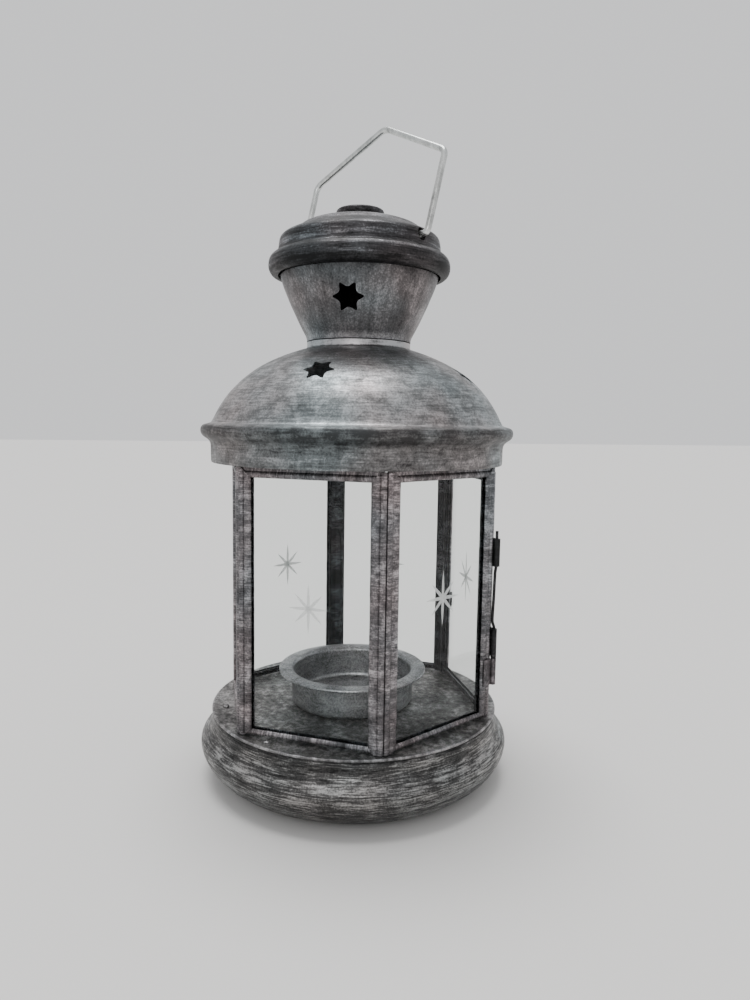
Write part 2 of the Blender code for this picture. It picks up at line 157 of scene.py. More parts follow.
def turnedPiece(name, outline, around=128, closeEnds=False):
    radius, height = outline[0]
    pickNothing()
    bpy.ops.mesh.primitive_circle_add(vertices=around, radius=radius * mm, location=(0, 0, height * mm))
    piece = nameNew(name)
    applyPlace(piece)
    startEditing(piece)
    for (r0, z0), (r1, z1) in zip(outline, outline[1:]):
        bpy.ops.mesh.extrude_region_move(TRANSFORM_OT_translate={"value": (0, 0, (z1 - z0) * mm)})
        bpy.ops.transform.resize(value=(r1 / r0, r1 / r0, 1), center_override=(0, 0, z1 * mm))
    if closeEnds:
        bpy.ops.mesh.select_all(action="DESELECT")
        bpy.ops.mesh.select_mode(type="EDGE")
        bpy.ops.mesh.select_non_manifold()
        bpy.ops.mesh.fill_holes(sides=0)
        bpy.ops.mesh.select_mode(type="VERT")
    stopEditing()
    faceShellOutwards(piece)
    return piece


def giveWall(piece, thickness):
    sheet = piece.modifiers.new("sheet", "SOLIDIFY")
    sheet.thickness = thickness * mm
    sheet.offset = -1
    sheet.use_even_offset = True
    applyModifiers(piece)


sheetEdge = {"width": 0.1, "segments": 2, "sharperThan": 50.0}


def giveFoldedSheet(piece, thickness):
    # thin sheet with softly broken edges
    sheet = piece.modifiers.new("sheet", "SOLIDIFY")
    sheet.thickness = thickness * mm
    sheet.offset = 0
    edge = piece.modifiers.new("edge", "BEVEL")
    edge.width = sheetEdge["width"] * mm
    edge.segments = sheetEdge["segments"]
    edge.limit_method = "ANGLE"
    edge.angle_limit = math.radians(sheetEdge["sharperThan"])
    applyModifiers(piece)
    faceSolidOutwards(piece)


def cutWith(piece, cutter):
    hole = piece.modifiers.new("hole", "BOOLEAN")
    hole.operation = "DIFFERENCE"
    hole.solver = "EXACT"
    hole.object = cutter
    applyModifiers(piece)
    bpy.data.objects.remove(cutter, do_unlink=True)


def azimuth(degrees):
    return Vector((math.sin(math.radians(degrees)), -math.cos(math.radians(degrees)), 0))


def acrossFrom(heading):
    return Vector((-heading.y, heading.x, 0))


def axesMatrix(across, up, out, centre):
    return Matrix(((across.x, up.x, out.x, centre.x), (across.y, up.y, out.y, centre.y),
                   (across.z, up.z, out.z, centre.z), (0, 0, 0, 1)))


# finishes

def wire(tree, start, end):
    tree.links.new(start, end)


def newNode(tree, kind, x, y, **settings):
    node = tree.nodes.new(kind)
    node.location = (x, y)
    for key, value in settings.items():
        setattr(node, key, value)
    return node


def feed(tree, socket, value):
    # a plain value is set on the socket, an output is wired to it
    if isinstance(value, bpy.types.NodeSocket):
        wire(tree, value, socket)
    else:
        socket.default_value = value


def maths(tree, operation, first, second, x=0, y=0, clamp=False):
    node = newNode(tree, "ShaderNodeMath", x, y, operation=operation, use_clamp=clamp)
    feed(tree, node.inputs[0], first)
    feed(tree, node.inputs[1], second)
    return node.outputs[0]


def vectorMaths(tree, operation, first, x, y, second=None, scale=None):
    node = newNode(tree, "ShaderNodeVectorMath", x, y, operation=operation)
    wire(tree, first, node.inputs[0])
    if second is not None:
        wire(tree, second, node.inputs[1])
    if scale is not None:
        feed(tree, node.inputs["Scale"], scale)
    return node


def noiseField(tree, vector, scale, detail, x, y, roughness=0.55, distortion=0.0):
    node = newNode(tree, "ShaderNodeTexNoise", x, y)
    for label, value in (("Vector", vector), ("Scale", scale), ("Detail", detail), ("Roughness", roughness),
                         ("Distortion", distortion)):
        feed(tree, node.inputs[label], value)
    return node.outputs["Fac"]


def spreadOver(tree, value, x, y, low, high, toLow=0.0, toHigh=1.0):
    node = newNode(tree, "ShaderNodeMapRange", x, y)
    for label, number in (("Value", value), ("From Min", low), ("From Max", high), ("To Min", toLow),
                          ("To Max", toHigh)):
        feed(tree, node.inputs[label], number)
    return node.outputs["Result"]


def blendColours(tree, factor, first, second, x, y, way="MIX"):
    node = newNode(tree, "ShaderNodeMix", x, y, data_type="RGBA", blend_type=way)
    for label, value in (("Factor", factor), ("A", first), ("B", second)):
        feed(tree, node.inputs[label], value)
    return node.outputs["Result"]


def newGroup(name, inputs, outputs):
    group = bpy.data.node_groups.new(name, "ShaderNodeTree")
    for way, sockets in (("INPUT", inputs), ("OUTPUT", outputs)):
        for label, kind in sockets:
            group.interface.new_socket(label, in_out=way, socket_type="NodeSocket" + kind)
    start = newNode(group, "NodeGroupInput", -1600, 0)
    end = newNode(group, "NodeGroupOutput", 900, 0)
    return group, start, end


def makeRoundTheAxis():
    # unrolls a turned surface: round the axis, then along its outline
    group, start, end = newGroup(
        "roundTheAxis",
        [("Vector", "Vector"), ("Around", "Float"), ("Along", "Float"), ("Lean", "Float")],
        [("Vector", "Vector")])
    split = newNode(group, "ShaderNodeSeparateXYZ", -1300, 0)
    wire(group, start.outputs["Vector"], split.inputs[0])
    flat = newNode(group, "ShaderNodeCombineXYZ", -1100, 100)
    wire(group, split.outputs["X"], flat.inputs["X"])
    wire(group, split.outputs["Y"], flat.inputs["Y"])
    reach = vectorMaths(group, "LENGTH", flat.outputs[0], -900, -100)
    heading = vectorMaths(group, "NORMALIZE", flat.outputs[0], -900, 100)
    spread = vectorMaths(group, "SCALE", heading.outputs[0], -700, 100, scale=start.outputs["Around"])
    leaned = maths(group, "MULTIPLY", reach.outputs["Value"], start.outputs["Lean"], -700, -100)
    travelled = maths(group, "ADD", split.outputs["Z"], leaned, -500, -100)
    stretched = maths(group, "MULTIPLY", travelled, start.outputs["Along"], -300, -100)
    lift = newNode(group, "ShaderNodeCombineXYZ", -100, -100)
    wire(group, stretched, lift.inputs["Z"])
    total = vectorMaths(group, "ADD", spread.outputs[0], 100, 0, second=lift.outputs[0])
    wire(group, total.outputs[0], end.inputs["Vector"])
    return group


def makeAgedZinc():
    # antiqued zinc: brushed streaks, wide bands, soft blotches and fine grain between three tones
    group, start, end = newGroup(
        "agedZinc",
        [("Position", "Vector"), ("Brush Position", "Vector"), ("Dark", "Color"), ("Middle", "Color"),
         ("Light", "Color"), ("Brushing", "Float"), ("Banding", "Float"), ("Blotching", "Float"),
         ("Grain", "Float"), ("Blotch Scale", "Float"), ("Level", "Float"), ("Cast", "Float"),
         ("Sheen Low", "Float"), ("Sheen High", "Float")],
        [("Color", "Color"), ("Roughness", "Float"), ("Height", "Float")])
    detail = {"bandShare": 0.22, "blotchRoughness": 0.64, "blotchSwirl": 0.6, "grainScale": 1500.0,
              "castScale": 32.0, "coolCast": (0.90, 1.0, 1.08, 1), "warmCast": (1.12, 0.96, 0.98, 1),
              "brushHeight": 0.8, "grainHeight": 0.2}
    place = start.outputs["Position"]
    brush = noiseField(group, start.outputs["Brush Position"], 1.0, 5, -1300, 500, roughness=0.65)
    wide = vectorMaths(group, "SCALE", start.outputs["Brush Position"], -1500, 300, scale=detail["bandShare"])
    band = noiseField(group, wide.outputs[0], 1.0, 2, -1300, 250)
    blotch = noiseField(group, place, start.outputs["Blotch Scale"], 6, -1300, 0,
                        detail["blotchRoughness"], detail["blotchSwirl"])
    grain = noiseField(group, place, detail["grainScale"], 3, -1300, -250, roughness=0.7)
    total = start.outputs["Level"]
    for index, (field, amount) in enumerate(((brush, "Brushing"), (band, "Banding"),
                                             (blotch, "Blotching"), (grain, "Grain"))):
        y = 400 - 200 * index
        centred = maths(group, "SUBTRACT", field, 0.5, -1000, y)
        weighted = maths(group, "MULTIPLY", centred, start.outputs[amount], -800, y)
        total = maths(group, "ADD", total, weighted, -600, y)
    tone = maths(group, "MULTIPLY", total, 1.0, -400, 0, clamp=True)
    # dark to middle over the lower half of the tone, middle to light over the upper
    lower = spreadOver(group, tone, -200, 200, 0.0, 0.5)
    upper = spreadOver(group, tone, -200, -100, 0.5, 1.0)
    darker = blendColours(group, lower, start.outputs["Dark"], start.outputs["Middle"], 100, 200)
    colour = blendColours(group, upper, darker, start.outputs["Light"], 300, 100)
    drift = noiseField(group, place, detail["castScale"], 2, -200, -500)
    drift = spreadOver(group, drift, 0, -500, 0.35, 0.65)
    cast = blendColours(group, drift, detail["coolCast"], detail["warmCast"], 200, -400)
    tinted = blendColours(group, start.outputs["Cast"], colour, cast, 500, 100, "MULTIPLY")
    wire(group, tinted, end.inputs["Color"])
    sheen = spreadOver(group, tone, 300, -200, 0.0, 1.0,
                       start.outputs["Sheen High"], start.outputs["Sheen Low"])
    wire(group, sheen, end.inputs["Roughness"])
    brushed = maths(group, "MULTIPLY", brush, detail["brushHeight"], 300, -450)
    grained = maths(group, "MULTIPLY", grain, detail["grainHeight"], 300, -600)
    wire(group, maths(group, "ADD", brushed, grained, 500, -500), end.inputs["Height"])
    return group


roundTheAxis = makeRoundTheAxis()
agedZinc = makeAgedZinc()


def grey(level, red=1.0, green=1.0, blue=1.0):
    return (level * red, level * green, level * blue, 1.0)


def toneAndLightByHeight(tree, position, heights):
    # tone that changes with height: partly the zinc's own tone, partly painted highlight and painted shade
    # where bands catch or miss the light
    split = newNode(tree, "ShaderNodeSeparateXYZ", -1300, -400)
    wire(tree, position, split.inputs[0])
    lowest, highest = heights[0][0], heights[-1][0]
    span = spreadOver(tree, split.outputs["Z"], -1100, -400, lowest * mm, highest * mm)
    ramp = newNode(tree, "ShaderNodeValToRGB", -900, -400)
    stops = ramp.color_ramp.elements
    while len(stops) < len(heights):
        stops.new(0.5)
    for stop, (height, tone) in zip(stops, heights):
        stop.position = (height - lowest) / (highest - lowest)
        stop.color = (tone, tone, tone, 1)
    wire(tree, span, ramp.inputs["Fac"])
    return ramp.outputs["Color"]


def newMaterial(name):
    made = bpy.data.materials.new(name)
    made.use_nodes = True
    tree = made.node_tree
    place = newNode(tree, "ShaderNodeTexCoord", -1300, 0)
    return made, tree, tree.nodes["Principled BSDF"], place.outputs["Object"]


def zincMaterial(name, finish):
    made, tree, shader, place = newMaterial(name)
    shader.inputs["Metallic"].default_value = finish["metallic"]
    if finish["follows"] == "axis":
        route = newNode(tree, "ShaderNodeGroup", -1000, 200)
        route.node_tree = roundTheAxis
        wire(tree, place, route.inputs["Vector"])
        for label, key in (("Around", "along"), ("Along", "across"), ("Lean", "lean")):
            route.inputs[label].default_value = finish[key]
    elif finish["follows"] == "object":
        route = newNode(tree, "ShaderNodeMapping", -1000, 300)
        route.inputs["Scale"].default_value = (finish["along"], finish["along"], finish["across"])
        wire(tree, place, route.inputs["Vector"])
    else:
        layout = newNode(tree, "ShaderNodeUVMap", -1200, 300, uv_map="lengthwise")
        route = newNode(tree, "ShaderNodeMapping", -1000, 300)
        route.inputs["Scale"].default_value = (finish["along"], finish["across"], 1)
        wire(tree, layout.outputs[0], route.inputs["Vector"])
    patina = newNode(tree, "ShaderNodeGroup", -600, 0)
    patina.node_tree = agedZinc
    wire(tree, place, patina.inputs["Position"])
    wire(tree, route.outputs[0], patina.inputs["Brush Position"])
    for label, key in (("Dark", "dark"), ("Middle", "middle"), ("Light", "light"), ("Brushing", "brushing"),
                       ("Banding", "banding"), ("Blotching", "blotching"), ("Grain", "grain"),
                       ("Blotch Scale", "blotchScale"), ("Cast", "cast"), ("Sheen Low", "sheenLow"),
                       ("Sheen High", "sheenHigh")):
        patina.inputs[label].default_value = finish[key]
    if finish["heights"]:
        wire(tree, toneAndLightByHeight(tree, place, finish["heights"]), patina.inputs["Level"])
    else:
        patina.inputs["Level"].default_value = finish["level"]
    wire(tree, patina.outputs["Color"], shader.inputs["Base Color"])
    wire(tree, patina.outputs["Roughness"], shader.inputs["Roughness"])
    relief = newNode(tree, "ShaderNodeBump", -300, -300)
    relief.inputs["Strength"].default_value = finish["relief"]
    relief.inputs["Distance"].default_value = finish["reliefDepth"] * mm
    wire(tree, patina.outputs["Height"], relief.inputs["Height"])
    wire(tree, relief.outputs["Normal"], shader.inputs["Normal"])
    return made


baseFinish = {
    "follows": "axis", "along": 9.0, "across": 2300.0, "lean": 0.0, "metallic": 0.8,
    "dark": grey(0.010, 1.0, 1.0, 0.98), "middle": grey(0.062, 1.0, 1.0, 0.97),
    "light": grey(0.34, 1.0, 1.01, 0.97),
    "brushing": 2.2, "banding": 0.8, "blotching": 0.75, "grain": 0.9, "blotchScale": 80.0,
    "cast": 0.35, "sheenLow": 0.32, "sheenHigh": 0.55, "relief": 0.55, "reliefDepth": 0.10,
    # painted light by height: lighter over the bulge that faces the light, painted shade darkening the cove
    # under the rim
    "heights": [(0.0, 0.40), (3.0, 0.47), (8.0, 0.51), (12.0, 0.54), (15.0, 0.58), (17.5, 0.57),
                (19.5, 0.46), (22.0, 0.42), (24.7, 0.33)],
}
roofFinish = dict(
    baseFinish, along=7.0, across=1300.0, lean=-0.6,
    dark=grey(0.035, 0.98, 1.0, 0.98), middle=grey(0.145, 0.97, 1.01, 0.98),
    light=grey(0.40, 0.98, 1.0, 0.98),
    brushing=1.2, banding=0.6, blotching=1.3, grain=1.0, blotchScale=210.0, cast=0.8,
    sheenLow=0.34, sheenHigh=0.50, relief=0.3, reliefDepth=0.06,
    # painted light by height: the bead band and the top of the dome painted dark as shade, the collar painted
    # bright as a highlight
    heights=[(118.0, 0.40), (122.0, 0.44), (125.5, 0.32), (127.5, 0.17), (130.5, 0.14), (131.8, 0.18),
             (132.8, 0.66), (134.5, 0.60), (146.0, 0.61), (153.0, 0.55), (158.5, 0.38), (160.4, 0.46),
             (161.0, 1.0), (163.0, 1.0)])
funnelFinish = dict(
    roofFinish, along=22.0, across=110.0,
    dark=grey(0.028, 0.98, 1.0, 0.99), middle=grey(0.102, 0.98, 1.0, 0.99), light=grey(0.30, 0.99, 1.0, 0.99),
    brushing=0.6, banding=0.4, blotching=1.3, grain=1.2, blotchScale=110.0, cast=0.9,
    heights=[(162.9, 0.55), (164.0, 0.60), (166.5, 0.48), (176.0, 0.50), (183.0, 0.46), (186.5, 0.30)])
capFinish = dict(
    baseFinish, along=4.0, across=1700.0, lean=-0.5,
    dark=grey(0.008), middle=grey(0.050, 1.0, 0.99, 1.0), light=grey(0.26, 0.98, 1.0, 1.01),
    brushing=1.5, banding=1.5, blotching=0.8, blotchScale=90.0, cast=0.9, reliefDepth=0.08,
    # painted light by height: the lower lip painted dark as shade, the rings above lighter or darker band by
    # band
    heights=[(184.0, 0.02), (187.5, 0.10), (190.0, 0.30), (192.5, 0.44), (194.6, 0.20), (196.0, 0.50),
             (199.0, 0.50), (200.2, 0.34), (202.3, 0.38), (203.9, 0.52), (207.5, 0.50), (207.9, 0.30),
             (210.7, 0.44)])
frameFinish = dict(
    baseFinish, follows="length", along=2100.0, across=300.0,
    dark=grey(0.024), middle=grey(0.116, 1.02, 0.99, 0.99), light=grey(0.44, 1.02, 0.99, 0.98),
    brushing=1.5, banding=0.7, blotching=1.5, grain=1.0, blotchScale=110.0, cast=0.8, relief=0.7,
    reliefDepth=0.14, level=0.5, heights=None)
# painted shade: a much darker copy of the frame finish, for the faces inside the lantern where shade falls
insideShadeFinish = dict(
    frameFinish, dark=grey(0.006), middle=grey(0.020, 0.96, 1.0, 1.06), light=grey(0.12, 0.95, 1.0, 1.05))
floorFinish = dict(
    frameFinish, follows="object", along=420.0, across=420.0,
    dark=grey(0.022, 1.0, 1.0, 0.97), middle=grey(0.125, 1.0, 1.0, 0.97), light=grey(0.42, 1.0, 1.0, 0.97),
    brushing=1.9, banding=0.3, blotching=1.3, grain=1.0, blotchScale=90.0, level=0.50, relief=0.5,
    reliefDepth=0.12, sheenLow=0.36, sheenHigh=0.55, cast=0.3)
# painted highlight: a lighter copy of the floor finish for the rolled rim, standing in for the bright line of
# light along its edge
rimHighlightFinish = dict(
    floorFinish, dark=grey(0.04), middle=grey(0.145), light=grey(0.40), level=0.55)
cupFinish = dict(
    frameFinish, follows="axis", along=4.0, across=900.0,
    dark=grey(0.080), middle=grey(0.265, 0.99, 1.0, 1.01), light=grey(0.56, 0.99, 1.0, 1.01),
    brushing=1.0, banding=0.4, blotching=1.2, grain=1.8, blotchScale=120.0, level=0.5,
    sheenLow=0.36, sheenHigh=0.46, relief=0.2, reliefDepth=0.08, metallic=0.85, cast=0.3)
hingeFinish = dict(
    frameFinish, along=700.0, across=700.0, dark=grey(0.006), middle=grey(0.022), light=grey(0.15),
    brushing=1.2, blotching=1.0, level=0.40, reliefDepth=0.06)
leafFinish = dict(
    hingeFinish, middle=grey(0.075, 1.05, 0.96, 0.97), light=grey(0.25, 1.05, 0.96, 0.97), level=0.55)
wireFinish = dict(
    frameFinish, follows="object", along=500.0, across=140.0, metallic=0.9,
    dark=grey(0.14, 0.97, 1.0, 0.97), middle=grey(0.52, 0.97, 1.0, 0.97), light=grey(0.90, 0.98, 1.0, 0.98),
    brushing=0.9, banding=0.4, blotching=1.0, grain=0.4, blotchScale=150.0, level=0.5,
    sheenLow=0.20, sheenHigh=0.34, relief=0.2, reliefDepth=0.05, cast=0.2)
solderFinish = dict(
    wireFinish, middle=grey(0.20), dark=grey(0.06), light=grey(0.42), sheenLow=0.25, sheenHigh=0.45)

baseZinc = zincMaterial("baseZinc", baseFinish)
roofZinc = zincMaterial("roofZinc", roofFinish)
funnelZinc = zincMaterial("funnelZinc", funnelFinish)
capZinc = zincMaterial("capZinc", capFinish)
frameZinc = zincMaterial("frameZinc", frameFinish)
insideShadeZinc = zincMaterial("insideShadeZinc", insideShadeFinish)
floorZinc = zincMaterial("floorZinc", floorFinish)
rimHighlightZinc = zincMaterial("rimHighlightZinc", rimHighlightFinish)
cupZinc = zincMaterial("cupZinc", cupFinish)
hingeSteel = zincMaterial("hingeSteel", hingeFinish)
leafSteel = zincMaterial("leafSteel", leafFinish)
brightWire = zincMaterial("brightWire", wireFinish)
solderTin = zincMaterial("solderTin", solderFinish)


def clearGlass():
    look = {"colour": (0.97, 0.985, 0.98, 1), "bending": 1.16, "smudgeSize": 38.0, "smudgeSwirl": 1.5,
            "dullest": 0.03, "throughLight": (0.95, 0.97, 0.96, 1)}
    made, tree, shader, place = newMaterial("clearGlass")
    shader.inputs["Base Color"].default_value = look["colour"]
    shader.inputs["Transmission Weight"].default_value = 1.0
    shader.inputs["IOR"].default_value = look["bending"]
    smudge = noiseField(tree, place, look["smudgeSize"], 5, -800, 0, distortion=look["smudgeSwirl"])
    smudged = spreadOver(tree, smudge, -500, 0, 0.48, 0.80, 0.0, look["dullest"])
    wire(tree, smudged, shader.inputs["Roughness"])
    # lamps shine through it, so the inside isn't dark
    clear = newNode(tree, "ShaderNodeBsdfTransparent", 0, -300)
    clear.inputs["Color"].default_value = look["throughLight"]
    ray = newNode(tree, "ShaderNodeLightPath", 0, 300)
    blend = newNode(tree, "ShaderNodeMixShader", 300, 0)
    wire(tree, ray.outputs["Is Shadow Ray"], blend.inputs[0])
    wire(tree, shader.outputs[0], blend.inputs[1])
    wire(tree, clear.outputs[0], blend.inputs[2])
    wire(tree, blend.outputs[0], tree.nodes["Material Output"].inputs["Surface"])
    return made


def cutGlass():
    look = {"colour": (0.72, 0.74, 0.73, 1), "grainSize": 1800.0, "thinnest": 0.38, "thickest": 0.72,
            "roughness": 0.32}
    made, tree, shader, place = newMaterial("cutGlass")
    shader.inputs["Base Color"].default_value = look["colour"]
    shader.inputs["Roughness"].default_value = look["roughness"]
    frost = noiseField(tree, place, look["grainSize"], 3, -800, 0)
    frosted = spreadOver(tree, frost, -500, 0, 0.3, 0.7, look["thinnest"], look["thickest"])
    wire(tree, frosted, shader.inputs["Alpha"])
    return made


paneGlass = clearGlass()
starGlass = cutGlass()
print("finishes made")


# base, floor and candle cup

baseShape = {
    "outline": [(40.6, 0.0), (43.2, 0.0), (45.4, 0.3), (47.6, 1.0), (49.8, 2.0), (51.9, 3.3), (54.0, 5.0),
                (55.8, 7.0), (57.2, 9.2), (58.1, 11.2), (58.5, 12.9), (58.55, 14.3), (58.2, 15.6),
                (57.35, 16.8), (56.2, 17.8), (55.3, 18.8), (54.7, 20.0), (54.35, 21.4), (54.15, 22.8),
                (54.0, 23.8), (53.4, 24.7)],
    "ledge": [(52.0, 24.7), (44.0, 24.7)],
    "wall": 0.7, "unevenSize": 0.018, "unevenDepth": 0.00012,
}
baseFine = turnedPiece("baseFine", easedLine(baseShape["outline"]) + baseShape["ledge"])
giveWall(baseFine, baseShape["wall"])
handWork(baseFine, baseShape)
shadeByAngle(baseFine)
fileAway(baseFine, "lantern_body", ["base_shell"], baseZinc)

floorShape = {
    "outline": [(2.0, 25.8), (20.0, 25.8), (35.0, 25.8), (48.0, 25.8), (52.6, 25.8), (53.3, 25.95),
                (53.9, 26.15), (54.3, 26.1), (54.5, 25.8), (54.45, 25.4), (54.1, 25.05), (53.0, 25.0),
                (2.0, 25.0)],
    "rimFrom": 53.95,
}
floorFine = turnedPiece("floorFine", floorShape["outline"], closeEnds=True)
shadeByAngle(floorFine, 50)
fileAway(floorFine, "lantern_body", ["floor_plate"], floorZinc)
# painted highlight: the rim's outer faces take the lighter rim finish
floorFine.data.materials.append(rimHighlightZinc)
for side in floorFine.data.polygons:
    if side.center.xy.length > floorShape["rimFrom"] * mm:
        side.material_index = 1

cupShape = {
    "outline": [(2.0, 26.1), (20.4, 26.1), (21.6, 26.2), (22.6, 26.7), (23.1, 27.5), (23.2, 28.6),
                (23.2, 33.0), (23.2, 37.2), (23.35, 38.0), (23.9, 38.45), (25.4, 38.5), (27.2, 38.35),
                (27.8, 38.25), (28.1, 38.5), (28.15, 38.95), (27.9, 39.3), (27.3, 39.4), (25.8, 39.5),
                (24.2, 39.5), (23.2, 39.3), (22.65, 38.8), (22.5, 38.1), (22.5, 33.0), (22.5, 28.9),
                (22.35, 28.0), (21.9, 27.4), (21.0, 27.15), (19.6, 27.3), (18.9, 27.3), (18.2, 26.9),
                (17.6, 26.8), (2.0, 26.8)],
    "shift": 1.0,
}
cupFine = turnedPiece("cupFine", cupShape["outline"], around=112, closeEnds=True)
cupFine.location = (0, cupShape["shift"] * mm, 0)
applyPlace(cupFine)
shadeByAngle(cupFine, 45)
fileAway(cupFine, "lantern_body", ["candle_cup"], cupZinc)
print("base, floor and cup made")


# roof, funnel and cap

starShape = {"tip": 5.9, "waist": 3.25, "round": 0.95, "depth": 6.0}


def starPunch(centre, across, up, out):
    pickNothing()
    bpy.ops.mesh.primitive_circle_add(vertices=12, radius=starShape["tip"] * mm, fill_type="NGON")
    punch = nameNew("starPunch")
    for corner in punch.data.vertices:
        # every other corner is drawn in to the waist
        angle = math.degrees(math.atan2(corner.co.y, corner.co.x)) % 60
        if 15 < angle < 45:
            corner.co *= starShape["waist"] / starShape["tip"]
    startEditing(punch)
    bpy.ops.mesh.bevel(offset=starShape["round"] * mm, segments=3, affect="VERTICES")
    bpy.ops.mesh.select_all(action="SELECT")
    bpy.ops.mesh.extrude_region_move(TRANSFORM_OT_translate={"value": (0, 0, starShape["depth"] * mm)})
    bpy.ops.mesh.select_all(action="SELECT")
    bpy.ops.mesh.normals_make_consistent(inside=False)
    stopEditing()
    punch.matrix_world = axesMatrix(across, up, out, centre - out * starShape["depth"] * mm / 2)
    applyPlace(punch)
    return punch


def punchStars(piece, shape):
    tilt = math.radians(shape["starTilt"])
    for index in range(shape["stars"]):
        heading = azimuth(shape["firstStar"] + 360 * index / shape["stars"])
        across = acrossFrom(heading)
        out = heading * math.cos(tilt) + Vector((0, 0, math.sin(tilt)))
        up = out.cross(across)
        centre = heading * shape["starRadius"] * mm + Vector((0, 0, shape["starHeight"] * mm))
        cutWith(piece, starPunch(centre, across, up, out))


def domeLine(corners, count):
    line = []
    for index in range(1, count + 1):
        t = index / count
        weights = ((1 - t) ** 3, 3 * t * (1 - t) ** 2, 3 * t * t * (1 - t), t ** 3)
        line.append(tuple(sum(w * c[axis] for w, c in zip(weights, corners)) for axis in (0, 1)))
    return line


roofShape = {
    "skirt": [(54.0, 118.75), (54.15, 119.4), (54.2, 121.5), (54.2, 123.6), (54.3, 125.0), (54.7, 126.2),
              (55.6, 127.1), (56.8, 127.9), (57.6, 128.9), (57.9, 130.1), (57.65, 131.3), (56.9, 132.1),
              (55.7, 132.55), (54.5, 132.9), (53.9, 133.3)],
    "dome": [(54.0, 132.6), (49.5, 144.0), (40.2, 154.6), (19.6, 160.3)], "domeSteps": 26,
    "collar": [(19.3, 160.6), (19.2, 161.2), (19.2, 162.6)],
    "wall": 0.7, "starRadius": 40.1, "starHeight": 150.8, "starTilt": 50.0, "stars": 4,
    "firstStar": -119.4, "unevenSize": 0.020, "unevenDepth": 0.00035,
}
domeOutline = domeLine(roofShape["dome"], roofShape["domeSteps"])[1:]
roofFine = turnedPiece("roofFine", easedLine(roofShape["skirt"], 2) + domeOutline + roofShape["collar"])
handWork(roofFine, roofShape)
giveWall(roofFine, roofShape["wall"])
punchStars(roofFine, roofShape)
shadeByAngle(roofFine)
fileAway(roofFine, "lantern_body", ["roof_dome"], roofZinc)

funnelShape = {
    "outline": [(19.3, 162.95), (19.35, 163.8), (19.7, 164.9), (20.3, 166.0), (21.0, 167.3), (22.0, 169.3),
                (23.1, 171.6), (24.1, 173.8), (25.1, 175.9), (26.0, 178.0), (26.9, 180.1), (27.8, 182.3),
                (28.5, 184.4), (29.0, 186.4)],
    "wall": 0.7, "starRadius": 25.0, "starHeight": 175.9, "starTilt": -24.5, "stars": 3,
    "firstStar": -109.4, "unevenSize": 0.014, "unevenDepth": 0.00025,
}
funnelFine = turnedPiece("funnelFine", easedLine(funnelShape["outline"], 2), around=112)
handWork(funnelFine, funnelShape)
giveWall(funnelFine, funnelShape["wall"])
punchStars(funnelFine, funnelShape)
shadeByAngle(funnelFine)
fileAway(funnelFine, "lantern_body", ["vent_funnel"], funnelZinc)

bailShape = {
    "wire": 1.15, "pivot": 198.0, "azimuth": -54.9, "lean": 16.1, "hole": 1.95, "holeStretch": 1.15,
    "line": [(26.3, -3.4), (26.9, 0.0, 1.5), (31.75, 0.0, 2.0), (32.2, 30.2, 2.6), (0.0, 46.8, 3.0)],
}
capShape = {
    "outline": [(29.9, 186.4), (30.9, 186.3), (32.0, 186.7), (32.8, 187.6), (33.3, 188.9), (33.35, 190.3),
                (33.1, 191.7), (32.5, 192.8), (31.6, 193.6), (30.6, 194.1), (30.05, 194.7), (29.8, 195.8),
                (29.65, 197.2), (29.5, 198.3), (29.2, 199.4), (28.6, 200.2), (27.6, 200.9), (26.2, 201.55),
                (24.4, 202.35), (22.9, 203.2), (21.9, 203.95), (20.8, 204.6), (18.6, 205.4), (16.0, 206.15),
                (13.0, 206.8), (10.0, 207.3), (7.0, 207.5), (4.3, 207.6)],
    "wall": 0.7, "holeRadius": 28.5, "holeDepth": 9.0,
    "pinhole": 0.7, "pinholeAzimuth": -128.0, "pinholeRadius": 15.5, "pinholeHeight": 206.0,
    "pinholeDepth": 6.0,
    "unevenSize": 0.012, "unevenDepth": 0.00018,
}
capFine = turnedPiece("capFine", easedLine(capShape["outline"], 2), around=112)
handWork(capFine, capShape)
giveWall(capFine, capShape["wall"])
for side in (-1, 1):
    # oval hole for the wire, a little taller than the wire needs
    heading = azimuth(bailShape["azimuth"]) * side
    pickNothing()
    bpy.ops.mesh.primitive_cylinder_add(vertices=32, radius=bailShape["hole"] * mm,
                                        depth=capShape["holeDepth"] * mm)
    punch = bpy.context.object
    holePlace = heading * capShape["holeRadius"] * mm + Vector((0, 0, bailShape["pivot"] * mm))
    punch.matrix_world = axesMatrix(acrossFrom(heading), Vector((0, 0, bailShape["holeStretch"])), heading,
                                    holePlace)
    applyPlace(punch)
    cutWith(capFine, punch)
pickNothing()
pinholePlace = azimuth(capShape["pinholeAzimuth"]) * capShape["pinholeRadius"] * mm
bpy.ops.mesh.primitive_cylinder_add(vertices=16, radius=capShape["pinhole"] * mm,
                                    depth=capShape["pinholeDepth"] * mm,
                                    location=(pinholePlace.x, pinholePlace.y, capShape["pinholeHeight"] * mm))
punch = bpy.context.object
applyPlace(punch)
cutWith(capFine, punch)
shadeByAngle(capFine)
fileAway(capFine, "lantern_body", ["cap"], capZinc)

